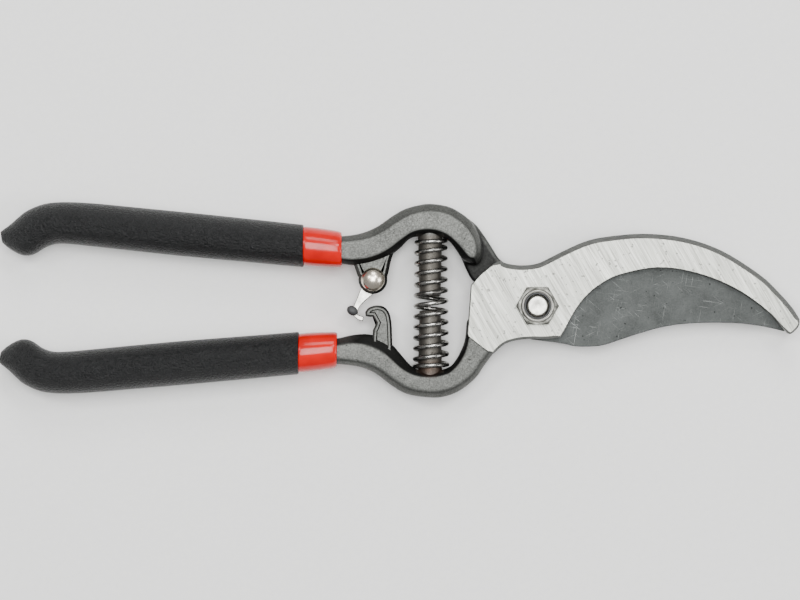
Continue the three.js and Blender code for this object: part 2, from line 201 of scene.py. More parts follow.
def inset_line(line, widths):
    """Each point of a closed line moved inwards, square to it, by one width or by its own."""
    if not isinstance(widths, list):
        widths = [widths] * len(line)
    after = line[1:] + line[:1]
    area = sum(p.x * q.y - q.x * p.y for p, q in zip(line, after))
    side = 1 if area > 0 else -1
    moved = []
    for i, (p, q) in enumerate(zip(line, after)):
        back, ahead = (p - line[i - 1]).normalized(), (q - p).normalized()
        across = Vector((-back.y, back.x)) * side
        middle = (across + Vector((-ahead.y, ahead.x)) * side).normalized()
        moved.append(p + middle * widths[i] / max(middle.dot(across), 0.5))
    return moved


def distance_to(p, a, b):
    """How far a point is from the stretch of a line between two others."""
    near, share = intersect_point_line(p, a, b)
    if not 0 <= share <= 1:
        near = a if share < 0 else b
    return (p - near).length


def shrunk(line, width):
    """A closed line moved inwards by one width, without the points that would cross over."""
    edges = list(zip(line, line[1:] + line[:1]))
    clear = [
        p for p in inset_line(line, width)
        if min(distance_to(p, *edge) for edge in edges) > width * 0.93
    ]
    return thinned(clear, 0.04)


def evened(widths, rounds):
    """Widths along a closed line, run smoothly into each other."""
    for _ in range(rounds):
        widths = [(widths[i - 1] + w + widths[(i + 1) % len(widths)]) / 3 for i, w in enumerate(widths)]
    return widths


# ---- meshes -----------------------------------------------------------------------------------


def place(x, y, z=0.0):
    """A point in the frame, from millimetres from the pivot's middle."""
    return Vector((x, y, z)) * MM + PIVOT


def ring(bm, line, heights):
    """A closed loop of edges along a line, at one height or at a height for each point."""
    if not isinstance(heights, list):
        heights = [heights] * len(line)
    verts = [bm.verts.new(place(p.x, p.y, z)) for p, z in zip(line, heights)]
    return [bm.edges.new(pair) for pair in zip(verts, verts[1:] + verts[:1])]


def loft(bm, loops):
    """Skins one loop to the next, and closes both ends."""
    for first, second in zip(loops, loops[1:]):
        bmesh.ops.bridge_loops(bm, edges=first + second)
    bmesh.ops.edgeloop_fill(bm, edges=loops[0])
    bmesh.ops.edgeloop_fill(bm, edges=loops[-1])


def stacked(*levels):
    """A solid skinned over closed lines, each at its height or heights."""
    bm = bmesh.new()
    loft(bm, [ring(bm, line, heights) for line, heights in levels])
    return bm


def plate(line, low, high, chamfer=0.0):
    """A flat plate with a chamfer round its front and back edges."""
    if not chamfer:
        return stacked((line, low), (line, high))
    inner = inset_line(line, chamfer)
    return stacked((inner, low), (line, low + chamfer), (line, high - chamfer), (inner, high))


def spun(profile, centre=AXIS, steps=64):
    """A turned solid about a line along Z, from (radius, height) pairs that start and end on it."""
    bm = bmesh.new()
    verts = [bm.verts.new(place(centre[0] + r, centre[1], z)) for r, z in profile]
    edges = [bm.edges.new(pair) for pair in zip(verts, verts[1:])]
    turn = {"cent": place(*centre), "axis": (0, 0, 1), "angle": math.tau, "steps": steps}
    bmesh.ops.spin(bm, geom=verts + edges, use_merge=True, **turn)
    return bm


def sealed(bm):
    """Doubles merged and faces turned outwards."""
    bmesh.ops.remove_doubles(bm, verts=bm.verts, dist=1e-7)
    bmesh.ops.recalc_face_normals(bm, faces=bm.faces)
    if bm.calc_volume(signed=True) < 0:
        bmesh.ops.reverse_faces(bm, faces=bm.faces)
    return bm


def piece_of(name, bm, *materials, finish=0):
    """A mesh object of a bmesh, which is freed. Finish is the number of its faces' material."""
    sealed(bm)
    for face in bm.faces:
        face.material_index = finish
        face.smooth = True
    mesh = bpy.data.meshes.new(name)
    bm.to_mesh(mesh)
    bm.free()
    for material in materials:
        mesh.materials.append(material)
    piece = bpy.data.objects.new(name, mesh)
    bpy.context.scene.collection.objects.link(piece)
    return piece


def applied(piece, kind, **settings):
    """Runs one modifier and keeps its result as the mesh."""
    modifier = piece.modifiers.new(kind.lower(), kind)
    for key, value in settings.items():
        setattr(modifier, key, value)
    old = piece.data
    shown = piece.evaluated_get(bpy.context.evaluated_depsgraph_get())
    piece.data = bpy.data.meshes.new_from_object(shown)
    piece.modifiers.clear()
    bpy.data.meshes.remove(old)


def combined(piece, operation, tool, finish=0):
    """Joins, cuts or trims a piece with another or with a new mesh, which is used up."""
    if isinstance(tool, bmesh.types.BMesh):
        tool = piece_of("tool", tool, *piece.data.materials, finish=finish)
    applied(piece, "BOOLEAN", operation=operation, solver="MANIFOLD", object=tool)
    mesh = tool.data
    bpy.data.objects.remove(tool)
    bpy.data.meshes.remove(mesh)
    return piece


def drilled(piece, radius, centre=AXIS):
    """Bores a round hole along Z through a piece."""
    profile = [(0, -THROUGH), (radius, -THROUGH), (radius, THROUGH), (0, THROUGH)]
    combined(piece, "DIFFERENCE", spun(profile, centre))


def softened(piece, rounds):
    """Rounds a fine mesh's edges by settling each point between its neighbours."""
    bm = bmesh.new()
    bm.from_mesh(piece.data)
    every_way = {"use_axis_x": True, "use_axis_y": True, "use_axis_z": True}
    for _ in range(rounds):
        bmesh.ops.smooth_vert(bm, verts=bm.verts, factor=0.5, **every_way)
    bm.to_mesh(piece.data)
    bm.free()
    return piece


def dressed(piece, body, slot, *nodes, crease=CREASE):
    """Shades a finished piece, and ties it to its body and the nodes it stands for. Its finish, the slot, is
    not used.
    """
    piece.data.shade_smooth()
    piece.data.set_sharp_from_angle(angle=math.radians(crease))
    even = piece.modifiers.new("even_shading", "WEIGHTED_NORMAL")
    even.keep_sharp = True
    if body:
        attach(piece, body)
    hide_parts(*nodes)
    return piece


# ---- materials --------------------------------------------------------------------------------


def add(tree, kind, inputs=None, **settings):
    """Adds a node: settings are its properties, inputs its sockets' values or the nodes they read."""
    node = tree.nodes.new("ShaderNode" + kind)
    for key, value in settings.items():
        setattr(node, key, value)
    for key, value in (inputs or {}).items():
        if isinstance(value, bpy.types.Node):
            value = next(socket for socket in value.outputs if socket.enabled)
        if isinstance(value, bpy.types.NodeSocket):
            tree.links.new(value, node.inputs[key])
        else:
            node.inputs[key].default_value = value
    return node


def material(name):
    """An empty material, its nodes, a point's place in millimetres and the way its surface faces."""
    made = bpy.data.materials.new(name)
    made.use_nodes = True
    tree = made.node_tree
    tree.nodes.clear()
    coordinates = add(tree, "TexCoord").outputs
    centred = {0: coordinates["Object"], 1: (1 / MM,) * 3, 2: -PIVOT / MM}
    spot = add(tree, "VectorMath", centred, operation="MULTIPLY_ADD")
    return made, tree, spot, coordinates["Normal"]


def blotches(spot, size, detail=3.0, roughness=0.55):
    """What a noise reads, for blotches of about size millimetres."""
    return {"Vector": spot, "Scale": 1 / size, "Detail": detail, "Roughness": roughness}


def specks(tree, spot, size, detail, low, high):
    """Small scattered places, where a noise rises from low to high."""
    noise = add(tree, "TexNoise", blotches(spot, size, detail))
    return add(tree, "MapRange", {0: noise, 1: low, 2: high})


def strokes(tree, spot, angle, along, across):
    """Noise drawn out into strokes at an angle in degrees, with their length and spacing."""
    turn = {"Vector": spot, "Angle": -math.radians(angle)}
    turned = add(tree, "VectorRotate", turn, rotation_type="Z_AXIS")
    stretch = {0: turned, 1: (1 / along, 1 / across, 1 / across)}
    drawn = add(tree, "VectorMath", stretch, operation="MULTIPLY")
    return add(tree, "TexNoise", {"Vector": drawn, "Scale": 1.0, "Detail": 3.0})


def laid(tree, under, over, *ranges, most=1.0):
    """One colour laid over another as each value rises through its range, up to a share."""
    share = most
    for value, low, high in ranges:
        rise = add(tree, "MapRange", {0: value, 1: low, 2: high})
        share = add(tree, "Math", {0: rise, 1: share}, operation="MULTIPLY")
    return add(tree, "Mix", {0: share, 6: under, 7: over}, data_type="RGBA")


def surfaced(made, skin, rough=None, bumps=None, **fixed):
    """Joins a colour to the shader, with a pattern's range of roughness and its bumps in millimetres."""
    tree = made.node_tree
    sockets = {"Base Color": skin, **{key.replace("_", " "): value for key, value in fixed.items()}}
    if rough:
        pattern, at_low, at_high = rough
        sockets["Roughness"] = add(tree, "MapRange", {0: pattern, 1: 0.3, 2: 0.7, 3: at_low, 4: at_high})
    if bumps:
        height, depth = bumps
        sockets["Normal"] = add(tree, "Bump", {"Height": height, "Distance": depth * MM, "Strength": 1.0})
    add(tree, "OutputMaterial", {"Surface": add(tree, "BsdfPrincipled", sockets)})
    return made


def blasted_forging(sizes):
    """Drop-forged carbon steel, shot blasted: a speckled grey skin, with its flanks painted darker (partly
    forge scale, partly painted shade), and painted shade in the sunk lap and on the pegs.
    """
    made, tree, spot, normal = material("blasted_forging")
    x, _, z = add(tree, "SeparateXYZ", {0: spot}).outputs
    upright = add(tree, "SeparateXYZ", {0: normal}).outputs[2]
    grit = add(tree, "TexNoise", blotches(spot, 0.45, 4.0, 0.7))
    cloud = add(tree, "TexNoise", blotches(spot, 6.0))
    skin = laid(tree, linear("#444542"), (*sizes.blasted, 1), (grit, 0.35, 0.66))
    skin = laid(tree, skin, linear("#757672"), (cloud, 0.35, 0.7), most=0.35)
    # Sloping flanks are painted darker, and the flanks round the throat near black: partly forge scale,
    # partly painted shade.
    steep = (add(tree, "Math", {0: upright}, operation="ABSOLUTE"), 0.97, 0.86)
    inwards = add(tree, "VectorMath", {0: (*THROAT, 0.0), 1: spot}, operation="SUBTRACT")
    flat = add(tree, "VectorMath", {0: inwards, 1: (1, 1, 0)}, operation="MULTIPLY")
    towards = add(tree, "VectorMath", {0: flat}, operation="NORMALIZE")
    facing = add(tree, "VectorMath", {0: towards, 1: normal}, operation="DOT_PRODUCT")
    skin = laid(tree, skin, linear("#30302F"), steep, most=0.3)
    skin = laid(tree, skin, (*sizes.scale, 1), steep, (facing, 0.05, 0.3), most=0.93)
    # The sunk lap beside the blade's pivot was never ground, and it is painted near black: partly that
    # unground skin, partly painted shade in the recess.
    beyond = add(tree, "VectorMath", {0: spot, 1: (0.825, 0.565, 0)}, operation="DOT_PRODUCT")
    sunk = (z, 1.5, 0.6), (z, -1.6, -0.6), (x, -24.0, -20.0), (upright, 0.55, 0.85), (beyond, -1.2, -2.4)
    skin = laid(tree, skin, linear("#0C0C0C"), *sunk, most=0.9)
    # The pegs inside the spring are painted a darker brown-grey: painted shade inside the coil.
    middle = (LOWER_SEAT + UPPER_SEAT) / 2
    offset = add(tree, "VectorMath", {0: spot, 1: (SPRING_X, middle, 0.0)}, operation="SUBTRACT")
    away = add(tree, "VectorMath", {0: offset}, operation="ABSOLUTE")
    beside, along, _ = add(tree, "SeparateXYZ", {0: away}).outputs
    skin = laid(tree, skin, linear("#5A5650"), (beside, 3.9, 3.6), (along, 18.9, 18.0), most=0.8)
    # Rust where the spring rubs its lower seat.
    seat = {0: spot, 1: (SPRING_X, LOWER_SEAT, 0.0)}
    from_seat = add(tree, "VectorMath", seat, operation="DISTANCE")
    stain = add(tree, "MapRange", {0: cloud, 1: 0.3, 2: 0.6, 3: 0.4})
    skin = laid(tree, skin, linear("#4A3428"), (from_seat, 4.7, 3.4), (stain, 0, 1), most=0.8)
    pits = specks(tree, spot, 1.1, 2.0, 0.7, 0.76)
    skin = laid(tree, skin, linear("#2A2A28"), (pits, 0, 1), most=0.7)
    relief = add(tree, "Math", {0: grit, 1: pits}, operation="SUBTRACT")
    return surfaced(made, skin, (grit, 0.62, 0.42), (relief, 0.06), Metallic=0.85)


def ground_steel(sizes):
    """Surface-ground carbon steel: nearly white, with fine straight wheel lines and a few dark nicks."""
    made, tree, spot, _ = material("ground_steel")
    lines = strokes(tree, spot, -60.0, 10.0, 0.26)
    broad = strokes(tree, spot, -60.0, 25.0, 2.2)
    skin = laid(tree, linear("#71726C"), (*sizes.ground, 1), (lines, 0.32, 0.68))
    skin = laid(tree, skin, linear("#A8A9A2"), (broad, 0.35, 0.65), most=0.25)
    nicks = specks(tree, spot, 0.9, 1.0, 0.68, 0.73)
    skin = laid(tree, skin, linear("#4A4A47"), (nicks, 0, 1), most=0.7)
    relief = add(tree, "Math", {0: lines, 1: nicks}, operation="SUBTRACT")
    return surfaced(made, skin, (lines, 0.42, 0.32), (relief, 0.012), Metallic=0.9)


def linished_rim():
    """Edges taken off on a belt: mid-grey steel with a soft, even grain along them."""
    made, tree, spot, _ = material("linished_rim")
    grain = strokes(tree, spot, 12.0, 4.0, 0.25)
    skin = laid(tree, linear("#4E4F4D"), linear("#6C6D6A"), (grain, 0.3, 0.7))
    return surfaced(made, skin, (grain, 0.5, 0.38), (grain, 0.015), Metallic=0.85)


def hardened_blade(sizes):
    """Quenched and tempered blade steel: dark grey, with light scratches, stains and a few pits."""
    made, tree, spot, _ = material("hardened_blade")
    cloud = add(tree, "TexNoise", blotches(spot, 7.0, 4.0, 0.6))
    grain = add(tree, "TexNoise", blotches(spot, 0.35, 3.0, 0.7))
    skin = laid(tree, linear("#242625"), (*sizes.blade, 1), (cloud, 0.3, 0.7))
    skin = laid(tree, skin, linear("#434544"), (grain, 0.3, 0.7), most=0.35)
    scratches = ((25.0, 12.0, 0.154), (-40.0, 8.0, 0.14), (80.0, 10.0, 0.175), (-8.0, 18.0, 0.14))
    marks = 0.0
    for scratch in scratches:
        line = add(tree, "MapRange", {0: strokes(tree, spot, *scratch), 1: 0.66, 2: 0.74})
        marks = add(tree, "Math", {0: line, 1: marks}, operation="MAXIMUM")
    worn = add(tree, "TexNoise", blotches(spot, 4.0, 1.0))
    skin = laid(tree, skin, linear("#8E918F"), (marks, 0, 1), (worn, 0.45, 0.6), most=0.5)
    pits = specks(tree, spot, 1.1, 2.0, 0.69, 0.74)
    skin = laid(tree, skin, linear("#0E0F0F"), (pits, 0, 1), most=0.8)
    relief = add(tree, "Math", {0: grain, 1: pits}, operation="SUBTRACT")
    return surfaced(made, skin, (cloud, 0.43, 0.39), (relief, 0.02), Metallic=0.9)


def plated(name, shade, dull, roughness, bump):
    """Electroplated steel: bright, with a thin cloudy film and small marks from handling."""
    made, tree, spot, _ = material(name)
    film = add(tree, "TexNoise", blotches(spot, 1.6, 4.0, 0.65))
    skin = laid(tree, linear(dull), (*shade, 1), (film, 0.32, 0.68))
    return surfaced(made, skin, (film, roughness * 1.5, roughness), (film, bump), Metallic=1.0)


def oil_tempered_wire(sizes):
    """Drawn and oil-tempered spring wire: smooth and bright on top, dark oil film in its clouds."""
    made, tree, spot, _ = material("oil_tempered_wire")
    film = add(tree, "TexNoise", blotches(spot, 2.2, 4.0, 0.6))
    drawn = strokes(tree, spot, 8.0, 6.0, 0.16)
    skin = laid(tree, linear("#3B3936"), (*sizes.steel, 1), (film, 0.35, 0.62))
    skin = laid(tree, skin, linear("#D8D6D0"), (drawn, 0.4, 0.7), most=0.3)
    return surfaced(made, skin, (film, 0.34, 0.2), (drawn, 0.01), Metallic=1.0)


def pebbled_vinyl(sizes):
    """Dip-moulded PVC with a pebbled skin: near black, with a soft broken sheen."""
    made, tree, spot, _ = material("pebbled_vinyl")
    pebbles = add(tree, "TexVoronoi", {"Vector": spot, "Scale": 1 / 0.6, "Randomness": 1.0})
    crumbs = add(tree, "TexNoise", blotches(spot, 0.35, 3.0, 0.7))
    blotch = add(tree, "TexNoise", blotches(spot, 3.0))
    skin = laid(tree, linear("#050606"), (*sizes.black, 1), (crumbs, 0.35, 0.68))
    skin = laid(tree, skin, linear("#111313"), (blotch, 0.4, 0.7), most=0.3)
    relief = add(tree, "Math", {0: crumbs, 1: pebbles}, operation="SUBTRACT")
    return surfaced(made, skin, (crumbs, 0.55, 0.36), (relief, 0.3), IOR=1.5, Specular_IOR_Level=0.35)


def glossy_vinyl(sizes):
    """Dip-moulded PVC left smooth: a wet-looking red, a little deeper where it is thin."""
    made, tree, spot, _ = material("glossy_vinyl")
    flow = add(tree, "TexNoise", blotches(spot, 5.0, 2.0))
    skin = laid(tree, linear("#B40502"), (*sizes.red, 1), (flow, 0.3, 0.7))
    return surfaced(made, skin, (flow, 0.2, 0.13), (flow, 0.05), IOR=1.5, Specular_IOR_Level=0.3)


def moulded_nylon():
    """Moulded black nylon of a lock nut's ring: matte, with faint flow marks."""
    made, tree, spot, _ = material("moulded_nylon")
    flow = add(tree, "TexNoise", blotches(spot, 0.8))
    skin = laid(tree, linear("#151617"), linear("#2A2B2C"), (flow, 0.35, 0.65))
    return surfaced(made, skin, bumps=(flow, 0.02), IOR=1.53, Roughness=0.55)


def seamless_paper(sizes):
    """Matte white background paper, with a trace of fibre."""
    made, tree, spot, _ = material("seamless_paper")
    fibre = add(tree, "TexNoise", blotches(spot, 1.5, 2.0))
    pale = laid(tree, linear("#F1F1EF"), (*sizes.floor, 1), (fibre, 0.3, 0.7))
    return surfaced(made, pale, Roughness=0.9)


# ---- the forged halves ------------------------------------------------------------------------

EYE_END = 10.0  # beyond here the jaws grow along X only
JAW_STRETCH = (JAW_REACH - EYE_END) / (70.7 - EYE_END)


def jaw(*points):
    """Points of the jaws, drawn for a reach of 70.7 mm and stretched to the frame's."""
    return [(EYE_END + (x - EYE_END) * JAW_STRETCH if x > EYE_END else x, y) for x, y in points]


HOOK_BACK = jaw(
    (-9.9, 12.1), (-7.8, 11.3), (-4, 10.9), (0.1, 11.4), (3.8, 13.1), (7.8, 15.1), (12.9, 17.3), (18.1, 18.5),
    (28.4, 19.4), (39.4, 18.3), (49.7, 14.8), (60, 8.3), (65.2, 3.4), (68.7, -0.6), (70.6, -3.6),
)
HOOK_TIP = jaw((70.6, -3.6), (70.4, -5.2), (69.4, -6.6), (67.9, -7.6), (66.7, -6.6))
HOOK_INSIDE = jaw(
    (66.7, -6.6), (61.8, -1.3), (53.2, 4.7), (42.9, 8.8), (32.5, 10.3), (22.2, 8.4), (16.8, 5.7),
    (12.9, 2.4), (9.8, -1.8), (6.3, -8.4),
)
EYE_BOTTOM = [(6.3, -8.4), (2.6, -8.9), (-1.3, -8.9), (-5.1, -9.2), (-8.7, -10.3), (-11.8, -12.9)]
CUTTING_EDGE = jaw((14, 8), (22, 10.8), (32.5, 12.6), (42, 11.4), (52, 7.4), (61, 1.4), (66.2, -4.6))
BLADE_SPINE = jaw(
    (66.8, -6.9), (61.8, -5.7), (56.6, -4.9), (51.5, -4.6), (44.6, -4.6), (37.7, -5.1), (32.5, -6.1),
    (27.3, -7.6), (22.4, -9.2), (18.1, -10.6), (14.4, -11), (10.3, -10.9), (6.5, -10.1), (-1.3, -9.1),
)

# Each bow is a pair of lines with like points: where its flanks start, and the edge of its face.
UPPER_INSIDE = (
    [(-58, 12.4), (-52.5, 11.3), (-49.3, 10.9), (-46.1, 11.3), (-43.1, 12.1), (-39.6, 13.5), (-36.9, 15.5),
     (-34.1, 18.2), (-31.2, UPPER_SEAT), (-27.5, UPPER_SEAT), (-24.1, 17.8), (-21.8, 15.1), (-20.3, 12.7)],
    [(-58, 13.6), (-52.5, 12.5), (-49.3, 12.3), (-46.1, 12.6), (-43.1, 13.5), (-39.9, 15.2), (-36.9, 17.5),
     (-33.7, 19.6), (-30.7, 20.4), (-27.5, 20.3), (-24.5, 19.1), (-21.4, 16.6), (-19.4, 14.2)],
)
UPPER_OUTSIDE = (
    [(-19.4, 24.3), (-23.4, 26.6), (-28.4, 27.5), (-32, 27.1), (-35.8, 26), (-39.4, 23.9), (-42.8, 21.5),
     (-46.6, 19.8), (-51.2, 18.9), (-58, 18.6)],
    [(-20.5, 22.6), (-24, 24.7), (-28.2, 25.5), (-31.4, 25.2), (-34.8, 24.2), (-38.2, 22.2), (-41.8, 19.8),
     (-46, 18.1), (-51.2, 17.4), (-58, 17.2)],
)
TONGUE = (
    [(-18.2, 11.5), (-16.3, 11.4), (-15.2, 13.2), (-15, 15.6), (-15.6, 18.6), (-17.4, 22.4)],
    [(-18.2, 12.9), (-17.2, 12.7), (-16.5, 13.6), (-16.3, 15.6), (-16.9, 18.2), (-18.6, 20.8)],
)
NECK = [(-16.4, 22), (-14.2, 19), (-12.1, 15.8), (-9.9, 12.5)]
LOWER_INSIDE = (
    [(-58, -9.2), (-53.9, -8.8), (-49.3, -7.8), (-44.5, -7.8), (-39.6, -10), (-36.9, -12.8), (-33.9, -16.2),
     (-31.2, LOWER_SEAT), (-26.6, LOWER_SEAT), (-23.7, -16.6), (-22.1, -15), (-20.7, -12.6), (-19.4, -9.2),
     (-18.9, -4)],
    [(-58, -11), (-53.9, -10.7), (-49.3, -10.2), (-45.6, -10.9), (-42.2, -12.5), (-39.9, -14), (-36.9, -16.6),
     (-33, -18.6), (-28.6, -19.1), (-24.5, -18.3), (-22.9, -17.2), (-21.3, -15.6), (-19.5, -12.2),
     (-17.6, -4)],
)
LOWER_OUTSIDE = (
    [(-11.8, -12.9), (-14.1, -16), (-16.7, -19.7), (-21.3, -23.2), (-26, -24.7), (-30.7, -24.6),
     (-35.6, -23.6), (-39.6, -21.2), (-43.1, -18.5), (-46.1, -17), (-49.3, -16.2), (-54.2, -15.7),
     (-58, -15.8)],
    [(-12.2, -11.6), (-14.9, -14.9), (-17.6, -18.7), (-21.8, -21.8), (-26.1, -23.2), (-30.4, -23.2),
     (-34.8, -22.2), (-38.9, -19.8), (-42.5, -17.2), (-45.6, -15.8), (-49.1, -15), (-54.2, -14.6),
     (-58, -14.8)],
)


def drafted(stretches, low, high, fall):
    """A forged bar between paired lines: widest in the middle, with flanks that slope in to both faces."""
    flanks, faces = ([p for pair in stretches for p in curve(pair[which])] for which in (0, 1))
    return stacked((faces, low), (flanks, low + 1.9), (flanks, high - fall), (faces, high))


def upper_bow_parts():
    """The upper bow's thick front with its tongue, and its thin back that runs on under the jaw."""
    end = [(-19, 9.6), (-17, 6.5), (-12.5, 4.5), (-8.2, 7.4), (-8.4, 11), (-10.3, 12.9), *reversed(NECK[:3])]
    yield drafted([UPPER_INSIDE, TONGUE, UPPER_OUTSIDE], -2.5, BOW_FACE, 2.3)
    yield drafted([UPPER_INSIDE, (end, end), UPPER_OUTSIDE], -BOW_FACE, -LAP, 1.2)


def lower_bow_parts():
    """The lower bow, which runs on under the eye of the jaw."""
    end = [(-16, -1.5), (-10, -1.5), (-8, -5), (-9.4, -9.2)]
    yield drafted([LOWER_INSIDE, (end, end), LOWER_OUTSIDE], -BOW_FACE, LOWER_BOW_FACE, 2.2)


def forging(name, parts, materials, grain):
    """Parts melted into one forging with soft edges."""
    bm = bmesh.new()
    for part in parts:
        mesh = bpy.data.meshes.new("part")
        sealed(part).to_mesh(mesh)
        part.free()
        bm.from_mesh(mesh)
        bpy.data.meshes.remove(mesh)
    piece = piece_of(name, bm, *materials)
    applied(piece, "REMESH", mode="VOXEL", voxel_size=grain, adaptivity=0.0, use_smooth_shade=True)
    return softened(piece, ROUNDING)


def forged_lug(line, low, high, rim=0.9, sink=0.35):
    """A small forged lug: a sloping rim, a narrow land and a sunk face."""
    land, floor, sunk = (shrunk(line, rim + further) for further in (0.0, 0.45, 0.75))
    body = (land, low), (line, low + rim), (line, high - rim), (land, high)
    return stacked(*body, (floor, high), (sunk, high - sink))


def peg(seat, towards):
    """The long tapered stud inside the spring, with its end rounded off."""
    root, reach = 2.5, 16.2  # behind the seat, and in front of it
    foot, tip = 3.3, 2.9  # radii at its two ends
    bm = bmesh.new()
    size = {"radius1": foot, "radius2": tip, "depth": root + reach}
    bmesh.ops.create_cone(bm, cap_ends=True, segments=48, **size)
    end = [e for e in bm.edges if all(v.co.z > 0 for v in e.verts)]
    bmesh.ops.bevel(bm, geom=end, offset=0.6, segments=4, profile=0.5, affect="EDGES", material=-1)
    turn = Matrix.Rotation(-towards * math.pi / 2, 4, "X")
    shift = Matrix.Translation(place(SPRING_X, seat + towards * (reach - root) / 2))
    bmesh.ops.transform(bm, matrix=shift @ Matrix.Scale(MM, 4) @ turn, verts=bm.verts)
    return bm


def upper_half(sizes, blasted, ground, blade_steel):
    """Upper handle, bow and cutting blade, one forging."""
    materials = (blasted, ground, blade_steel)
    parts = [*upper_bow_parts(), tang(UPPER_LINE)]
    piece = forging("bladed_handle", parts, materials, sizes.grain)
    lug = outline(
        [(-50.3, 13.6), (-49.4, 11.2), (-48.3, 8)], arc((RIVET_X, RIVET_Y), 3.9, 170, 370, 16),
        [(-39.9, 9.4), (-39.3, 12.2), (-38.4, 15)],
    )
    combined(piece, "UNION", forged_lug(lug, -0.6, 2.4))
    combined(piece, "UNION", peg(UPPER_SEAT, -1))
    line = outline(
        [(-10.4, 10.6), (-8.6, 10.9), (-6.5, 10.3), (-3, 9.8), (3, 9.9), (8, 7.9), (11, 7.2),
         CUTTING_EDGE[0]],
        CUTTING_EDGE, BLADE_SPINE,
        [(-1.3, -9.1), (-6, -7.6), (-9.6, -4.6), (-11.6, -0.4), (-12.2, 4), (-11.6, 8)],
    )
    blade = piece_of("blade", plate(line, -JAW_FACE, -LAP, 0.12), *materials, finish=2)
    grind = outline((-40, 40), (11.5, 40), (11.5, 9.4), CUTTING_EDGE, (78, -20), (66, -40), (-40, -40))
    behind = (inset_line(grind, GRIND_WIDTH), -JAW_FACE - 0.02)
    combined(blade, "INTERSECT", stacked((grind, 2.0), (grind, -LAP - 0.4), behind), finish=1)
    combined(piece, "UNION", blade)
    drilled(piece, BOLT_HOLE)
    drilled(piece, RIVET_HOLE, (RIVET_X, RIVET_Y))
    return dressed(piece, "upper_half", "blade_steel", "blade_handle")


def hooked_jaw(rim):
    """The ground jaw plate: a wide belt-ground chamfer along its back, narrow ones elsewhere."""
    stretches = [
        (HOOK_BACK, rim), (HOOK_TIP, 0.5), (HOOK_INSIDE, 0.12), (EYE_BOTTOM, 0.7),
        ([(-13.3, -12.4), (-15.5, -10.6), (-18.5, -8.3)], 0.15),
        ([(-18.8, -7.6), (-18.3, -1.1), (-17.8, 5.6)], 0.25),
        ([(-17.2, 6.2), (-15.3, 8.3), (-13.4, 9.9), (-11.5, 11.4)], 0.15),
    ]
    line, widths = [], []
    for points, width in stretches:
        for p in curve(points):
            if not line or (p - line[-1]).length > 0.05:
                line.append(p)
                widths.append(width)
    widths = evened(widths, 3)
    edge = [JAW_FACE - 1.25 * width for width in widths]
    return stacked((line, LAP), (line, edge), (inset_line(line, widths), JAW_FACE))


def horn_line():
    """The cane-shaped horn that the catch's foot goes under."""
    reach = 10.1  # rivet to the horn's underside
    level = RIVET_Y - reach - 0.3
    under = arc((RIVET_X, RIVET_Y), reach, -90.5, -101, 3)
    floor = level - 1.8
    top = [(-46.3, level + 1.6), (-45.3, level + 2.8), (-43.3, level + 3.4), (-41.2, level + 3),
           (-39.8, level + 1.4), (-39.2, level - 1.1)]
    return outline(
        (-44.6, -12), [(-44.2, floor - 1.4), (-43.7, floor - 0.4), (-43.4, floor + 0.5)], under, top,
        [(-39.1, level - 2.6), (-39.0, -9), (-38.9, -12.5)],
    )


def lower_half(sizes, blasted, ground, rim):
    """Lower handle, bow and hooked jaw, one forging with a ground front."""
    materials = (blasted, ground, rim)
    parts = [*lower_bow_parts(), tang(LOWER_LINE)]
    piece = forging("hooked_handle", parts, materials, sizes.grain)
    shoulder = [(0, -THROUGH), (LAP_SHOULDER, -THROUGH), (LAP_SHOULDER, LAP), (0, LAP)]
    combined(piece, "DIFFERENCE", spun(shoulder, steps=96))
    arm = outline((-30, 1.6), (-18.5, 1.6), (-14.6, -1.6), (-11, -6), (0, 0), (-30, 20))
    combined(piece, "DIFFERENCE", plate(arm, -THROUGH, LAP))
    combined(piece, "UNION", forged_lug(horn_line(), -2.7, 2.7, rim=0.55, sink=0.4))
    combined(piece, "UNION", peg(LOWER_SEAT, 1))
    jaw_plate = piece_of("jaw_plate", hooked_jaw(sizes.rim / MM), *materials, finish=2)
    for face in jaw_plate.data.polygons:
        if abs(face.normal.z) > 0.99:
            face.material_index = 1
    combined(piece, "UNION", jaw_plate)
    drilled(piece, BOLT_HOLE)
    return dressed(piece, "lower_half", "forged_steel", "hook_handle")


# ---- grips ------------------------------------------------------------------------------------

UPPER_LINE = {"start": (-63.0, 16.15), "slope": 5.6, "inward": -1, "nose": 1.0}
LOWER_LINE = {"start": (-64.3, -12.75), "slope": 4.8, "inward": 1, "nose": 0.955}
NOSE_START = 60.0  # past here a grip's length is scaled by its "nose"
NOSE_END = 81.15
RED_END = 71.0  # the inner dip ends inside the outer one's nose
ROUNDNESS = 2.3  # 2 is an ellipse, and more is squarer

# Along the handle from the outer skin's lip: outer edge, edge facing the other handle, half depth.
GRIP_STATIONS = [
    ((-15.5, -5.7), (-16.6, 5.7), 6.7), ((0.5, -5.7), (-0.6, 5.7), 6.7), ((16, -5.85), (16, 5.8), 6.85),
    ((31, -5.95), (31, 5.9), 6.95), ((45, -5.95), (45, 5.8), 6.95), ((55.6, -5.95), (56.5, 5.65), 6.9),
    ((62, -5.75), (62.3, 5.65), 6.8), ((66.5, -5.35), (65.6, 5.85), 6.7), ((70.2, -4.6), (67.8, 6.5), 6.6),
    ((73.2, -3.3), (69.6, 7.5), 6.4), ((75.8, -1.6), (71.3, 8.9), 6.1), ((77.6, 0.3), (73, 9.75), 5.6),
    ((79, 1.8), (75, 9.95), 4.9), ((80.1, 2.8), (77.1, 9.3), 3.9), ((80.9, 3.5), (79.1, 8.3), 2.9),
    ((81.6, 4.2), (80.8, 7.1), 1.8),
]


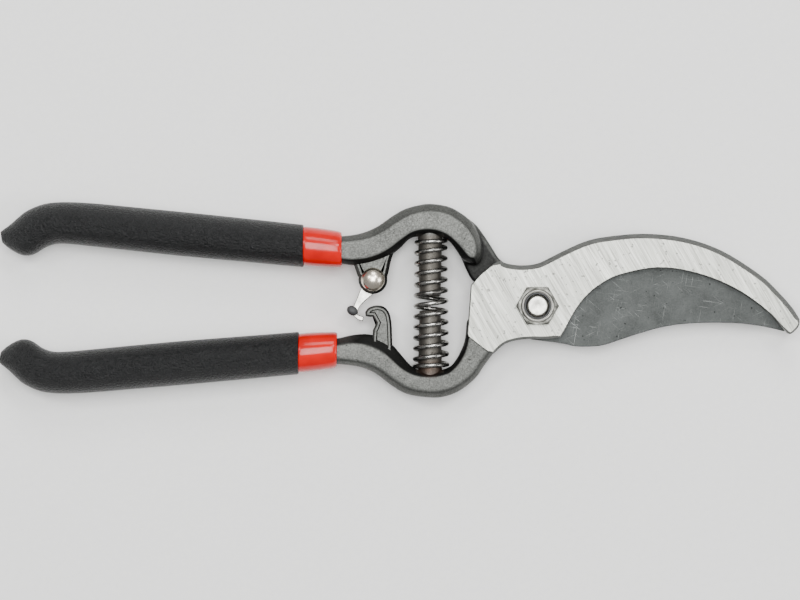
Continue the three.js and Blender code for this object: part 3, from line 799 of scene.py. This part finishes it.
def grip_station(s):
    """The station at a distance along the grip, between the listed ones."""
    starts = [(outer[0] + inner[0]) / 2 for outer, inner, _ in GRIP_STATIONS]
    values = [Vector((*outer, *inner)) for outer, inner, _ in GRIP_STATIONS]
    i = max(1, next((k for k, at in enumerate(starts) if at >= s), len(starts) - 1))
    t = min(max((s - starts[i - 1]) / (starts[i] - starts[i - 1]), 0.0), 1.0)
    a, b = values[i - 1], values[i]
    before = values[i - 2] if i > 1 else 2 * a - b
    after = values[i + 1] if i + 1 < len(values) else 2 * b - a
    edges = between(before, a, b, after, t)
    deep = GRIP_STATIONS[i - 1][2] * (1 - t) + GRIP_STATIONS[i][2] * t
    return Vector(edges[:2]), Vector(edges[2:]), deep


def grip_ring(bm, line, s, inset, shrink=1.0):
    """One oval section of a grip: a superellipse between the station's two edges."""
    outer, inner, deep = grip_station(s)
    middle, half = (outer + inner) / 2, (inner - outer) / 2
    width = half.length
    half *= max(width - inset, 0.2) * shrink / width
    deep = max(deep - inset, 0.2) * shrink
    slope = math.radians(line["slope"])
    along = Vector((-math.cos(slope), -line["inward"] * math.sin(slope)))
    across = Vector((-math.sin(slope), line["inward"] * math.cos(slope)))
    made = bmesh.ops.create_circle(bm, segments=48, radius=1.0)
    for vert in made["verts"]:
        x, y = (math.copysign(abs(c) ** (2 / ROUNDNESS), c) for c in vert.co.xy)
        local = middle + half * x
        past = max(local.x - NOSE_START, 0.0)
        stretched = local.x + past * (line["nose"] - 1)
        spot = Vector(line["start"]) + along * stretched + across * local.y
        vert.co = place(spot.x, spot.y, deep * y)
    return list({edge for vert in made["verts"] for edge in vert.link_edges})


def grip_skin(line, sections):
    """A closed skin over sections of a grip: each is its place, how far it is inset, and its share."""
    bm = bmesh.new()
    loft(bm, [grip_ring(bm, line, *section) for section in sections])
    return bm


def evenly(start, end, inset, count):
    """Like sections at even steps from start to end."""
    return [(start + (end - start) * i / count, inset, 1.0) for i in range(count + 1)]


def sleeve(line, inset, end, outside):
    """A skin that is open at its mouth: down inside from a solid nose, and back over the outside."""
    solid_nose = 9.0
    mouth = outside[0][0]
    inside = evenly(end - solid_nose, mouth, inset, 16)[:-1]
    return grip_skin(line, inside + outside)


def tang(line):
    """The handle's plain bar inside its grip."""
    return grip_skin(line, evenly(*TANG, TANG_INSET, 30))


def black_cover(line):
    """The outer dip: a rolled lip at its mouth, an even wall, and a pinched nose."""
    lip = [(0.25, 0.75), (0.02, 0.6), (-0.08, 0.35), (0.0, 0.12), (0.3, -0.02), (0.9, 0.0)]
    body = [(0.9 + (NOSE_END - 0.9) * (i / 60) ** 0.8, 0.0) for i in range(1, 61)]
    tip = [(NOSE_END, 0.0, 0.6), (NOSE_END, 0.0, 0.25)]
    return sleeve(line, 0.75, NOSE_END, lip + body + tip)


def red_cover(line):
    """The inner dip: it shows as a rounded red band between the steel and the outer dip."""
    band = [
        (-10.3, 1.75), (-10.45, 1.45), (-10.4, 1.2), (-10.1, 0.95), (-9.4, 0.8), (-8, 0.68), (-6, 0.56),
        (-4, 0.47), (-2, 0.42), (-0.6, 0.44), (-0.1, 0.6),
    ]
    return sleeve(line, 1.75, RED_END, band + evenly(0.6, RED_END, 0.82, 30))


# ---- spring, hardware and catch ---------------------------------------------------------------


def coil(sizes):
    """Round wire wound on a mandrel, with flattened turns at both ends."""
    wire, turns = sizes.wire / MM, sizes.turns
    radius = (SPRING_HIGH.x - SPRING_LOW.x) / 2 - wire / 2
    low, high = SPRING_LOW.y + wire / 2, SPRING_HIGH.y - wire / 2
    lean = 0.25  # the closed spring leans a little towards the handles at its top
    end_turn, end_climb = 0.75, 0.7
    steps = 30
    open_turns = (turns - 2 * end_turn, high - low - 2 * end_climb)
    stretches = [(end_turn, end_climb), open_turns, (end_turn, end_climb)]
    bm = bmesh.new()
    made = bmesh.ops.create_circle(bm, cap_ends=True, segments=12, radius=wire / 2)
    centre = Matrix.Translation(place(SPRING_X + lean, low)) @ Matrix.Scale(MM, 4)
    upright = centre @ Matrix.Rotation(math.pi / 2, 4, "Y") @ Matrix.Translation((radius, 0, 0))
    bmesh.ops.transform(bm, matrix=upright, verts=made["verts"])
    last = bm.faces[:] + bm.edges[:] + bm.verts[:]
    for share, climb in stretches:
        count = round(share * steps)
        shift = Vector((-2 * lean * climb / (high - low), climb, 0)) * MM / count
        turn = {"cent": place(SPRING_X + lean, low), "axis": (0, 1, 0), "angle": math.tau * share}
        last = bmesh.ops.spin(bm, geom=last, dvec=shift, steps=count, **turn)["geom_last"]
    return bm


def hexagon(flats, low, high):
    """A plain hexagon bar between two heights, whose corners turned_off takes off at both ends."""
    bm = bmesh.new()
    corner = flats / math.sqrt(3)
    turn = Matrix.Rotation(math.pi / 2, 4, "Z")
    shift = Matrix.Translation(place(0, 0, (low + high) / 2)) @ Matrix.Scale(MM, 4) @ turn
    size = {"radius1": corner, "radius2": corner, "depth": high - low}
    bmesh.ops.create_cone(bm, cap_ends=True, segments=6, matrix=shift, **size)
    return bm


def turned_off(piece, flats, low, high):
    """Trims a hexagon's corners with a 30 degree cone, as on a lathe."""
    corner, land = flats / math.sqrt(3) + 0.1, flats / 2 * 0.97
    fall = (corner - land) * math.tan(math.radians(30))
    profile = [(0, low), (land, low), (corner, low + fall), (corner, high - fall), (land, high), (0, high)]
    return combined(piece, "INTERSECT", spun(profile), finish=len(piece.data.materials) - 1)


def broken_edges(piece):
    """Takes the sharpness off turned and milled edges."""
    angle = math.radians(CREASE)
    applied(piece, "BEVEL", width=0.06 * MM, segments=2, limit_method="ANGLE", angle_limit=angle)


def heights(node):
    """A node's lowest and highest faces, from the middle plane."""
    return [(corner.z - PIVOT.z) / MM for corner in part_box(node)]


def nut_levels():
    """The nut's seat, the top of its hexagon and the top of its collar."""
    low, high = heights("pivot_nut")
    return low, low + 2.5, high


def nut(sizes, zinc, shaded_zinc):
    """The hexagonal nut, with a thin turned collar that holds the locking ring."""
    base, collar, top = nut_levels()
    flats, inside = sizes.flats / MM, 3.85
    # The hexagon takes the darker copy of the zinc, painted shade; the collar and the bore take the plain
    # zinc.
    piece = piece_of("hex_nut", hexagon(flats, base, collar), zinc, shaded_zinc, finish=1)
    turned_off(piece, flats, base, collar)
    crown = [
        (0, collar - 0.6), (4.6, collar - 0.6), (4.45, collar + 0.1), (4.32, top - 0.3), (4.2, top - 0.08),
        (4.02, top), (3.88, top - 0.04), (inside, top - 0.2), (0, top - 0.2),
    ]
    combined(piece, "UNION", spun(crown))
    bore = [
        (0, base - 1), (BOLT_HOLE, base - 1), (BOLT_HOLE, collar), (inside, collar), (inside, top + 1),
        (0, top + 1),
    ]
    combined(piece, "DIFFERENCE", spun(bore))
    broken_edges(piece)
    return dressed(piece, "lower_half", "zinc_plate", "pivot_nut")


def lock_ring(nylon):
    """The dark ring between the nut's collar and the bolt's end."""
    _, collar, top = nut_levels()
    low, high = collar + 0.3, top - 0.35
    inner, outer, edge = 3.12, 3.6, 0.12
    profile = [
        (inner, low), (outer, low), (outer, high - edge), (outer - edge, high), (inner + edge, high),
        (inner, high - edge), (inner, low),
    ]
    return dressed(piece_of("lock_ring", spun(profile), nylon), "lower_half", "dark_nylon", "nut_lock_ring")


def bolt(sizes, zinc):
    """The pivot bolt, with a hexagonal head behind and a domed end in the nut."""
    low = -PIVOT.z / MM
    flats, top, head = sizes.flats / MM, nut_levels()[2] - 0.25, low + 2.2
    piece = turned_off(piece_of("pivot_bolt_m6", hexagon(flats, low, head), zinc), flats, low, head)
    shank = [
        (0, head - 1), (3, head - 1), (3, top - 0.55), (2.62, top - 0.14), (2.42, top), (1.5, top - 0.03),
        (0.6, top - 0.12), (0, top - 0.16),
    ]
    combined(piece, "UNION", spun(shank))
    broken_edges(piece)
    return dressed(piece, "lower_half", "zinc_plate", "pivot_bolt")


def rivet(nickel):
    """The catch's rivet: a domed head in front and a small upset tail behind."""
    low, high = heights("catch_rivet")
    head = 2.7  # underside of the dome
    quarter = [math.pi / 2 * i / 16 for i in range(16)]
    dome = [(3.2 * math.cos(t), head + (high - head) * math.sin(t)) for t in quarter]
    tail = [(0, low), (1.9, low), (2.4, low + 0.4), (2.4, low + 1), (1.5, low + 1)]
    profile = [*tail, (1.5, head), (3.05, head), *dome, (0, high)]
    piece = piece_of("domed_rivet", spun(profile, (RIVET_X, RIVET_Y)), nickel)
    return dressed(piece, "upper_half", "nickel_plate", "catch_rivet")


def about(degrees, radius):
    """A point round the rivet."""
    turn = math.radians(degrees)
    return (RIVET_X + radius * math.cos(turn), RIVET_Y + radius * math.sin(turn))


def catch(zinc, nylon):
    """The stamped catch: an eye behind the lug, a curved leg, a foot, and a pressed thumb pad."""
    low, high = heights("catch_lever")
    line = outline(
        [*(about(degrees, 3.0) for degrees in (-60, -20, 20, 60, 100, 140, 180)), about(215, 3.9)],
        [about(230, 6.8), about(235, 9.3), about(241, 11), about(249, 11.6)],
        about(256.2, 11.6), about(256.2, 10.4),
        [about(246.5, 10.4), about(243.6, 8.6), about(247.5, 6.6), about(261, 4.6)],
    )
    piece = piece_of("thumb_catch", plate(line, low, high, 0.18), zinc, nylon)
    pad = [
        (0, low + 0.1), (1.1, low + 0.1), (1.25, low + 0.3), (1.25, high + 0.9), (1.1, high + 1.3),
        (0.8, high + 1.5), (0.4, high + 1.6), (0, high + 1.62),
    ]
    # The pad is a little wider across the lever than along it.
    at, widening = 236.5, 0.25
    tab = spun(pad, about(at, 10.1), 40)
    middle, along = place(*about(at, 10.1)).xy, Vector(about(at, 1.0)) - Vector(about(at, 0.0))
    across = Vector((-along.y, along.x))
    for vert in tab.verts:
        vert.co.xy += across * (vert.co.xy - middle).dot(across) * widening
    combined(piece, "UNION", tab, finish=1)
    drilled(piece, 1.7, (RIVET_X, RIVET_Y))
    return dressed(piece, "catch", "zinc_plate", "catch_lever")


# ---- operators --------------------------------------------------------------------------------


class SHEARS_OT_forgings(bpy.types.Operator):
    """Forge the two steel halves, with their jaws"""

    bl_idname = "shears.forgings"
    bl_label = "Forged Halves"

    def execute(self, context):
        sizes = context.scene.shears.forging
        blasted, ground = blasted_forging(sizes), ground_steel(sizes)
        upper_half(sizes, blasted, ground, hardened_blade(sizes))
        lower_half(sizes, blasted, ground, linished_rim())
        return {"FINISHED"}


class SHEARS_OT_grips(bpy.types.Operator):
    """Dip the handles in red vinyl and then in black"""

    bl_idname = "shears.grips"
    bl_label = "Dipped Grips"

    def execute(self, context):
        sizes = context.scene.shears.grips
        black, red = pebbled_vinyl(sizes), glossy_vinyl(sizes)
        for side, line in (("upper", UPPER_LINE), ("lower", LOWER_LINE)):
            piece = piece_of(side + "_red_dip", red_cover(line), red)
            dressed(piece, side + "_half", "red_vinyl", side + "_red_cover", crease=SOFT_CREASE)
            piece = piece_of(side + "_black_dip", black_cover(line), black)
            dressed(piece, side + "_half", "black_vinyl", side + "_black_cover", crease=SOFT_CREASE)
        return {"FINISHED"}


class SHEARS_OT_spring(bpy.types.Operator):
    """Wind the return spring between its two seats"""

    bl_idname = "shears.spring"
    bl_label = "Return Spring"

    def execute(self, context):
        sizes = context.scene.shears.spring
        piece = piece_of("coil_spring", coil(sizes), oil_tempered_wire(sizes))
        dressed(piece, None, "spring_steel", "return_spring", crease=SOFT_CREASE)
        ends = (place(SPRING_X, LOWER_SEAT), place(SPRING_X, UPPER_SEAT))
        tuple(ends[0])
        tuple(ends[1])
        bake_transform(piece)
        return {"FINISHED"}


class SHEARS_OT_hardware(bpy.types.Operator):
    """Turn the pivot's bolt, nut and locking ring, the rivet and the catch"""

    bl_idname = "shears.hardware"
    bl_label = "Pivot and Catch"

    def execute(self, context):
        sizes = context.scene.shears.hardware
        zinc = plated("zinc_plate", sizes.zinc, "#9A9993", 0.26, 0.02)
        # A darker copy of the zinc plating: painted shade for the nut's hexagon.
        shaded_zinc = plated("zinc_painted_shade", linear("#85857F")[:3], "#4E4E4A", 0.4, 0.05)
        nickel = plated("nickel_plate", sizes.nickel, "#CFC4B3", 0.2, 0.006)
        bolt(sizes, zinc)
        nut(sizes, zinc, shaded_zinc)
        nylon = moulded_nylon()
        lock_ring(nylon)
        rivet(nickel)
        catch(zinc, nylon)
        return {"FINISHED"}


class SHEARS_OT_stage(bpy.types.Operator):
    """Set the floor, the lights and the camera"""

    bl_idname = "shears.stage"
    bl_label = "Studio"

    def execute(self, context):
        sizes = context.scene.shears.stage
        bm = bmesh.new()
        bmesh.ops.create_grid(bm, x_segments=1, y_segments=1, size=3.0)
        floor = piece_of("studio_floor", bm, seamless_paper(sizes))
        floor.data.transform(Matrix.Translation((0, 0, -0.5 * MM)))  # just under the shears
        world = bpy.data.worlds.new("studio_air")
        world.use_nodes = True
        background = world.node_tree.nodes["Background"]
        background.inputs["Color"].default_value = linear("#F2F3F5")
        background.inputs["Strength"].default_value = 0.42
        context.scene.world = world
        centre = Vector((-0.0369, 0.00156, PIVOT.z))  # middle of the view
        view_width = 0.2158
        for name, offset, size, power in SOFTBOXES:
            softbox(name, centre + Vector(offset), centre, size, power)
        lens = bpy.data.cameras.new("shears_camera")
        lens.sensor_width = 36.0
        lens.lens = lens.sensor_width * sizes.height / view_width
        lens.clip_end = 20.0
        camera = bpy.data.objects.new("shears_camera", lens)
        camera.location = centre + Vector((0, 0, sizes.height))
        context.scene.collection.objects.link(camera)
        context.scene.camera = camera
        return {"FINISHED"}


# Where each stands from the middle of the view, its side and its power.
SOFTBOXES = [
    ("overhead_softbox", (0, 0.12, 1.6), 0.7, 25.0),
    ("far_softbox", (0.1, 1.0, 1.0), 0.5, 6.0),
    ("right_softbox", (1.1, -0.1, 0.9), 0.5, 7.0),
    ("left_window", (-0.5, 0.35, 1.0), 0.22, 3.0),
    ("right_window", (0.35, 0.42, 1.0), 0.22, 3.0),
]


def softbox(name, spot, target, size, power):
    """A square area light, turned to its target."""
    lamp = bpy.data.lights.new(name, "AREA")
    lamp.shape = "SQUARE"
    lamp.size = size
    lamp.energy = power
    holder = bpy.data.objects.new(name, lamp)
    holder.location = spot
    holder.rotation_euler = (target - spot).to_track_quat("-Z", "Y").to_euler()
    bpy.context.scene.collection.objects.link(holder)


class SHEARS_PT_panel(bpy.types.Panel):
    """Lists the operators and their sizes and colours"""

    bl_idname = "SHEARS_PT_panel"
    bl_label = "Pruning Shears"
    bl_space_type = "VIEW_3D"
    bl_region_type = "UI"
    bl_category = "Shears"

    def draw(self, context):
        for operator in OPERATORS:
            self.layout.operator(operator.bl_idname)
        for group in ShearsSettings.__annotations__:
            settings = getattr(context.scene.shears, group)
            box = self.layout.box()
            box.label(text=group.capitalize())
            for field in settings.__annotations__:
                box.prop(settings, field)


OPERATORS = (SHEARS_OT_stage, SHEARS_OT_forgings, SHEARS_OT_grips, SHEARS_OT_spring, SHEARS_OT_hardware)
GROUPS = (ForgingSettings, GripSettings, SpringSettings, HardwareSettings, StageSettings, ShearsSettings)
CLASSES = (*GROUPS, *OPERATORS, SHEARS_PT_panel)


def register():
    for cls in CLASSES:
        bpy.utils.register_class(cls)
    bpy.types.Scene.shears = PointerProperty(type=ShearsSettings)


def unregister():
    del bpy.types.Scene.shears
    for cls in reversed(CLASSES):
        bpy.utils.unregister_class(cls)


def main():
    register()
    bpy.ops.shears.stage()
    bpy.ops.shears.forgings()
    bpy.ops.shears.grips()
    bpy.ops.shears.spring()
    bpy.ops.shears.hardware()


if __name__ == "__main__":
    main()
